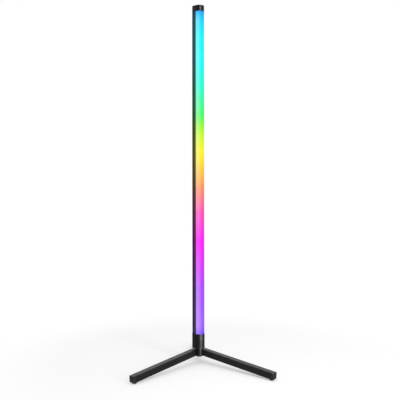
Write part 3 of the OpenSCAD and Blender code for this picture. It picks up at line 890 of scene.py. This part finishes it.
def build_leg(leg):
    """Square tube: mitred against its neighbours, cut round the post, its free end
    broken, screwed from below."""
    half, inner = LEG_W / 2, LEG_W / 2 - LEG_WALL
    end = leg.length - PLUG_HEAD
    brk, flat = 0.3, 1.8
    s = Shell()
    outer = [tube_ring(s, half, LEG_R, LEG_START), tube_ring(s, half, LEG_R, end - flat),
             tube_ring(s, half, LEG_R, end - brk, 1), tube_ring(s, half - brk, LEG_R - brk, end, 1)]
    inside = [tube_ring(s, inner, LEG_R - LEG_WALL, end), tube_ring(s, inner, LEG_R - LEG_WALL, LEG_START)]
    s.loft(outer + inside + outer[:1], ends=False)
    o = s.made(f"leg_tube_{leg.name}", leg_matrix(leg))
    post = turned(cylinder_shell("post", POST_R + 0.12, 0, SHOULDER_Z, 96),
                  leg_matrix(leg).inverted() @ axis_matrix())
    hole = turned(sunk_hole(LARGE_SEAT, 8), shift(LEG_SCREW_X, 0, -half) @ DOWN)
    o = combine(o, [mitre_box(leg, turn) for turn in leg.mitres] + [post, hole])
    dress(o, "base", POWDER, "black_paint", f"leg_{leg.name}")
    wear_corners(o)


def wear_corners(o):
    """Marks the long rounded corners of a tube as rubbed edges."""
    f = (LEG_W / 2 - LEG_R * 0.75) * MM
    for v, d in zip(o.data.vertices, o.data.attributes["edge"].data):
        if abs(v.co.y) > f and abs(v.co.z) > f:
            d.value = 1.0


def build_plug(leg):
    """End plug: a head flush with the tube with a rounded end, and a block inside."""
    half, base = LEG_W / 2, leg.length - PLUG_HEAD
    brk = 0.3
    s = Shell()
    rings = [tube_ring(s, SPIGOT_W / 2 - 0.8, SPIGOT_R, base - PLUG_SPIGOT),
             tube_ring(s, SPIGOT_W / 2, SPIGOT_R, base - PLUG_SPIGOT + 1),
             tube_ring(s, SPIGOT_W / 2, SPIGOT_R, base), tube_ring(s, half - brk, LEG_R - brk, base, 1),
             tube_ring(s, half, LEG_R, base + brk, 1), tube_ring(s, half, LEG_R, base + 1.5),
             tube_ring(s, half, LEG_R, leg.length - PLUG_EDGE - 0.5)]
    for turn in PLUG_TURNS:
        inset, below = on_edge(PLUG_EDGE, turn)
        worn = 1 if turn < PLUG_TURNS[-2] else 0
        rings.append(tube_ring(s, half - inset, LEG_R - 0.25 * inset, leg.length - below, worn))
    rings.append(tube_ring(s, half - PLUG_EDGE - 1, LEG_R - 1, leg.length))
    s.loft(rings)
    dress(s.made(f"end_plug_{leg.name}", leg_matrix(leg)), "base", PLUG_BLACK, "black_plastic",
          f"leg_plug_{leg.name}")


def leg_underside(leg, u):
    """Height of a leg's underside at a plan distance u from where the legs meet."""
    return HUB_Z - u * math.tan(leg.slope) - LEG_W / 2 / math.cos(leg.slope)


def build_foot(leg):
    """Rubber foot: ribbed tread, rounded lower edge, top cut to the leg's slope."""
    steps = 56
    s = Shell()

    def flat_ring(r, z, edge=0.0):
        return s.ring(level(circle(r, steps), z), edge)

    def sloped_ring(r, below=0.0, edge=0.0):
        return s.ring([(x, y, leg_underside(leg, leg.foot + x) - below) for x, y in circle(r, steps)], edge)

    rings = [sloped_ring(FOOT_HOLE_R), sloped_ring(FOOT_R - 0.3), sloped_ring(FOOT_R, 0.3, 1)]
    for turn in EDGE_TURNS:
        inset, z = on_edge(FOOT_EDGE, turn)
        rings.append(flat_ring(FOOT_R - inset, z, 1))
    tread = [(6.1, 0.0), (6.0, 0.35), (5.6, 0.35), (5.5, 0.0)]
    recess = [(FOOT_RECESS_R + 0.25, 0.0), (FOOT_RECESS_R, 0.25), (FOOT_RECESS_R, FOOT_RECESS),
              (FOOT_HOLE_R, FOOT_RECESS)]
    rings += [flat_ring(r, z) for r, z in tread + recess]
    s.loft(rings + rings[:1], ends=False)
    dress(s.made(f"rubber_foot_{leg.name}", foot_matrix(leg)), "base", RUBBER, "foot_rubber",
          f"foot_{leg.name}")


def build_hub():
    """Round post with its swivel pin, and the three spigots inside the legs."""
    s = Shell()
    z0, z1 = POST_BOTTOM + POST_PLUG, SHOULDER_Z - 0.01
    s.lathe([(0, z0), (POST_R - 0.25, z0), (POST_R, z0 + 0.25), (POST_R, z0 + 1.2),
             (POST_R, SHOULDER_Z - 1.6), (POST_R, SHOULDER_Z - 0.6), (POST_R - 0.18, SHOULDER_Z - 0.18),
             (POST_R - 0.6, z1), (PIN_R, z1), (PIN_R, PIN_TOP - 0.6), (PIN_R - 0.6, PIN_TOP), (0, PIN_TOP)],
            96, (5, 6, 7))
    post = s.made("round_post", axis_matrix())
    spigots = []
    for leg in LEGS:
        p = Shell()
        p.loft([tube_ring(p, NECK_W / 2, NECK_R, 0), tube_ring(p, NECK_W / 2, NECK_R, SPIGOT_START - 0.1),
                tube_ring(p, SPIGOT_W / 2, SPIGOT_R, SPIGOT_START),
                tube_ring(p, SPIGOT_W / 2, SPIGOT_R, SPIGOT_LEN - 0.5),
                tube_ring(p, SPIGOT_W / 2 - 0.5, 0.6, SPIGOT_LEN)])
        local = axis_matrix().inverted() @ leg_matrix(leg)
        spigots.append(turned(p.made("spigot"), local))
    # The post takes the darker copy of the powder coat, a painted shade.
    dress(combine(post, spigots, "UNION"), "base", SHADED_POST_COAT, "black_paint", "hub")


def build_post_plug():
    """Plug under the post: dimpled in its middle, rounded round its edge."""
    plug = Shell()
    z, r = POST_BOTTOM, POST_PLUG_EDGE
    top, core = z + POST_PLUG, z + CORE_LEN
    profile = [(0, z + 0.5), (4.0, z + 0.5), (4.3, z + 0.35), (4.6, z + 0.02), (POST_R - r - 0.8, z)]
    for turn in EDGE_TURNS:
        above, inset = on_edge(r, turn)
        profile.append((POST_R - inset, z + above))
    profile += [(POST_R, top - 0.25), (POST_R - 0.25, top), (CORE_R, top), (CORE_R, core), (0, core)]
    plug.lathe(profile, 96, range(5, 13))
    dress(plug.made("post_plug", axis_matrix()), "base", PLUG_BLACK, "black_plastic", "hub_plug")


def build_base_screws():
    upper, lower = [], []
    for leg in LEGS:
        upper.append((countersunk(LEG_SCREW), leg_matrix(leg) @ shift(LEG_SCREW_X, 0, -LEG_W / 2) @ DOWN))
        lower.append((pan(FOOT_SCREW, head=2.2, key=1.3), foot_matrix(leg) @ shift(0, 0, FOOT_RECESS)))
    dress(gathered("leg_fixing_screws", upper), "base", SCREW_BLACK, "black_screw", "leg_screws")
    dress(gathered("foot_fixing_screws", lower), "base", ZINC, "zinc_steel", "foot_screws")


# ---------- hidden pieces keep their CAD mesh ----------

HIDDEN = {
    "retaining_washer": ZINC, "retaining_screw": ZINC, "wave_washer": ZINC, "sleeve_screws": ZINC,
    "jack_nut": ZINC, "joiner_lower": ZINC, "joiner_upper": ZINC, "power_leads": WIRE_BLACK,
    "control_board": BOARD, "board_pad": FOAM, "tape_leads": TINNED, "light_tape": TAPE_WHITE,
    "light_chips": RESIN,
}


def dress_hidden():
    for node, material in HIDDEN.items():
        o = frame["nodes"][node]
        if not o.material_slots:
            o.data.materials.append(material)
        for s in o.material_slots:
            s.material = material


# ---------- floor, world and lights ----------

# The floor's own glow, and the share of it and the shade that the lamp mirrors. The
# pool is where the lit floor turns into plain white, in metres from the origin.
FLOOR_SIZE = 6.0
FLOOR_LIFT = 0.4
FLOOR_MIRRORED = 0.22
POOL = (0.45, 0.9)
FLOOR_PALE = (0.78, 0.8)
FLOOR_MIRROR_SHADE = 0.3


def sees_background(n):
    """1 for rays from the camera or through clear surfaces, less for mirrored ones."""
    path = n.add("ShaderNodeLightPath").outputs
    seen = n.math("MAXIMUM", path["Is Camera Ray"], path["Is Transmission Ray"])
    return n.math("MAXIMUM", seen, n.math("MULTIPLY", path["Is Glossy Ray"], FLOOR_MIRRORED))


def floor_material():
    """Pale floor that the lamps light inside the pool, turning into plain white."""
    m = bpy.data.materials.new("pale_floor")
    m.use_nodes = True
    n = Nodes(m.node_tree)
    pale = n.add("ShaderNodeBsdfDiffuse")
    glossy = n.add("ShaderNodeLightPath").outputs["Is Glossy Ray"]
    seen = n.mix(n.noise(3.0), grey(FLOOR_PALE[0]), grey(FLOOR_PALE[1]))
    n.put(n.mix(glossy, seen, grey(FLOOR_MIRROR_SHADE)), pale.inputs[0])
    lift = n.add("ShaderNodeEmission")
    n.put(n.math("MULTIPLY", sees_background(n), FLOOR_LIFT), lift.inputs[1])
    lit = n.add("ShaderNodeAddShader")
    n.put(pale.outputs[0], lit.inputs[0])
    n.put(lift.outputs[0], lit.inputs[1])
    far = n.add("ShaderNodeEmission")
    n.put(sees_background(n), far.inputs[1])
    distance = n.add("ShaderNodeVectorMath", operation="LENGTH")
    n.put(n.place(), distance.inputs[0])
    both = n.add("ShaderNodeMixShader")
    n.put(n.spread(distance.outputs["Value"], *POOL), both.inputs[0])
    n.put(lit.outputs[0], both.inputs[1])
    n.put(far.outputs[0], both.inputs[2])
    out = n.add("ShaderNodeOutputMaterial")
    n.put(both.outputs[0], out.inputs[0])
    return m


def make_floor():
    bm = bmesh.new()
    bmesh.ops.create_grid(bm, x_segments=8, y_segments=8, size=FLOOR_SIZE)
    mesh = bpy.data.meshes.new("studio_floor")
    bm.to_mesh(mesh)
    bm.free()
    floor = bpy.data.objects.new("studio_floor", mesh)
    scene.collection.objects.link(floor)
    mesh.materials.append(floor_material())


WORLD_FILL = 0.38
MIRROR_DARK = 0.04
MIRROR_LEFT = 0.4
MIRROR_ABOVE = 0.95
# Where the mirrored panels fade in, by the X, Y and Z parts of a unit vector towards them
PANEL_X = (-0.8, -1.0)
PANEL_Y = (0.45, 0.1)
ABOVE_Z = (0.14, 0.34)
ABOVE_Y = (-0.2, 0.3)
ABOVE_FRONT = 0.3


def make_world():
    """White where it is seen directly. Mirrored in the lamp it is dark, with a pale
    panel on the left and nearly white from well above the horizon. It lights softly."""
    world = bpy.data.worlds.new("studio")
    world.use_nodes = True
    scene.world = world
    n = Nodes(world.node_tree)
    path = n.add("ShaderNodeLightPath").outputs
    d = n.add("ShaderNodeSeparateXYZ")
    n.put(n.add("ShaderNodeTexCoord").outputs["Generated"], d.inputs[0])
    left = n.math("MULTIPLY", n.spread(d.outputs[0], *PANEL_X, 0.0, MIRROR_LEFT),
                  n.spread(d.outputs[1], *PANEL_Y))
    above = n.math("MULTIPLY", n.spread(d.outputs[2], *ABOVE_Z, 0.0, MIRROR_ABOVE),
                   n.spread(d.outputs[1], *ABOVE_Y, ABOVE_FRONT, 1.0))
    mirrored = n.math("MAXIMUM", n.math("MAXIMUM", left, above), MIRROR_DARK)
    glossy = n.math("MAXIMUM", path["Is Glossy Ray"], path["Is Transmission Ray"])
    fill = n.mix(glossy, grey(WORLD_FILL), mirrored)
    strength = n.mix(path["Is Camera Ray"], fill, grey(1.0))
    back = n.add("ShaderNodeBackground")
    n.put(strength, back.inputs[0])
    out = n.add("ShaderNodeOutputWorld")
    n.put(back.outputs[0], out.inputs[0])


SIDE_ANGLE = 38.0
HIGH_ANGLE = 26.0
LAMP_DISTANCE = 2.2
GLEAM_BLEND = 0.4
GLEAM_SIZE = 0.06


def aimed(data, place, target):
    o = bpy.data.objects.new(data.name, data)
    scene.collection.objects.link(o)
    o.location = place
    o.rotation_euler = (Vector(target) - Vector(place)).to_track_quat("-Z", "Y").to_euler()
    o.visible_camera = False
    return o


def soft_light(name, place, target, width, height, watts):
    data = bpy.data.lights.new(name, "AREA")
    data.shape, data.size, data.size_y, data.energy = "RECTANGLE", width, height, watts
    return aimed(data, place, target)


def gleam(name, place, target, beam, watts):
    """Narrow spot, beam degrees wide, that gives only a highlight on what it hits."""
    data = bpy.data.lights.new(name, "SPOT")
    data.spot_size = math.radians(beam)
    data.spot_blend = GLEAM_BLEND
    data.shadow_soft_size = GLEAM_SIZE
    data.energy = watts
    aimed(data, place, target).visible_diffuse = False


def round_lamp(angle, z):
    """A place round the pole, at an angle in degrees to the camera's right."""
    a = math.radians(-90) - CAM_TURN + math.radians(angle)
    return (LAMP_DISTANCE * math.cos(a), AXIS_Y * MM + LAMP_DISTANCE * math.sin(a), z)


def on_pole(z):
    return (0, AXIS_Y * MM, z)


def make_lights():
    soft_light("overhead", (0, -0.1, 2.4), (0, -0.05, 0), width=2.6, height=2.6, watts=20)
    soft_light("side", round_lamp(SIDE_ANGLE, 0.9), on_pole(0.7), width=0.6, height=1.8, watts=20)
    gleam("low_gleam", round_lamp(SIDE_ANGLE, 0.35), on_pole(0.09), beam=5.5, watts=420)
    gleam("high_gleam", round_lamp(HIGH_ANGLE, 2.0), on_pole(1.4), beam=4.5, watts=50)


# ---------- the lamp ----------

build_hub()
build_post_plug()
for one_leg in LEGS:
    build_leg(one_leg)
    build_plug(one_leg)
    build_foot(one_leg)
build_base_screws()
build_bush()
build_sleeve()
build_inlet()
build_pole()
build_cap()
dress_hidden()
make_floor()
make_world()
make_lights()

scene.view_settings.view_transform = "Standard"
